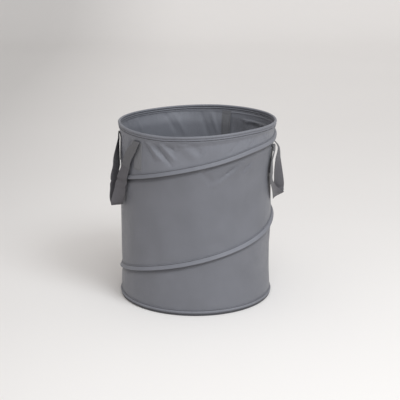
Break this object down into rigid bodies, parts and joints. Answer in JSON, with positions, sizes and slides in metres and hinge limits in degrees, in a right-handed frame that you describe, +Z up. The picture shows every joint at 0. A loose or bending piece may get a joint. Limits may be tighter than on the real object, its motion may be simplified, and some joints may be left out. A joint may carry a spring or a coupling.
{
  "type": "pop up laundry hamper",
  "caption": "Round fabric laundry hamper held open by a spiral spring wire, with stiffened rim and base rings and hanging webbing carry handles.",
  "frame": {"origin": "on the floor, under the middle of the round base", "axes": "+Z up along the hamper's axis, -Y towards the front, +X to the front viewer's right"},
  "size_m": [0.538, 0.4703, 0.533],
  "materials": {
    "cloth": "matte brushed microfibre",
    "binding": "matte folded tape, stitched",
    "tape": "matte seam tape",
    "webbing": "matte woven webbing",
    "steel": "drawn spring wire",
    "crimp": "crimped sleeve",
    "plastic": "moulded end cap"
  },
  "bodies": {
    "base": {"base_panel": "cloth", "base_binding": "binding", "base_ring_wire": "steel", "base_ring_ferrule": "crimp", "wall_lower_panel": "cloth", "wall_middle_panel": "cloth", "wall_upper_panel": "cloth", "back_seam_tape": "tape", "spiral_channel": "binding", "spiral_wire": "steel", "spiral_upper_cap": "plastic", "spiral_lower_cap": "plastic"},
    "rim": {"rim_hem": "binding", "rim_ring_wire": "steel", "rim_ring_ferrule": "crimp"},
    "left_straps": {"left_front_strap_end": "webbing", "left_rear_strap_end": "webbing"},
    "right_straps": {"right_front_strap_end": "webbing", "right_rear_strap_end": "webbing"},
    "left_handle": {"left_handle_loop": "webbing"},
    "right_handle": {"right_handle_loop": "webbing"}
  },
  "joints": [
    {"name": "collapse", "type": "slide", "parent": "base", "child": "rim", "axis": [0, 0, -1], "range_m": [0, 0.473], "stiffness_N_per_m": 20, "springref_m": -0.3, "deforming": ["wall_lower_panel", "wall_middle_panel", "wall_upper_panel", "back_seam_tape", "spiral_channel", "spiral_wire", "spiral_upper_cap", "spiral_lower_cap", "left_front_strap_end", "left_rear_strap_end", "right_front_strap_end", "right_rear_strap_end"]},
    {"name": "left_straps_drop", "type": "slide", "parent": "base", "child": "left_straps", "axis": [0, 0, -1], "range_m": [0, 0.464]},
    {"name": "right_straps_drop", "type": "slide", "parent": "base", "child": "right_straps", "axis": [0, 0, -1], "range_m": [0, 0.435]},
    {"name": "left_handle_swing", "type": "hinge", "parent": "left_straps", "child": "left_handle", "pos_m": [-0.22124, -0.03504, 0.497], "axis": [-0.1564, 0.9877, 0], "range_deg": [0, 110]},
    {"name": "right_handle_swing", "type": "hinge", "parent": "right_straps", "child": "right_handle", "pos_m": [0.22124, -0.03504, 0.467], "axis": [-0.1564, -0.9877, 0], "range_deg": [0, 110]}
  ],
  "couplings": [
    {"joint": "left_straps_drop", "follows": "collapse", "ratio": 0.98},
    {"joint": "right_straps_drop", "follows": "collapse", "ratio": 0.918}
  ]
}
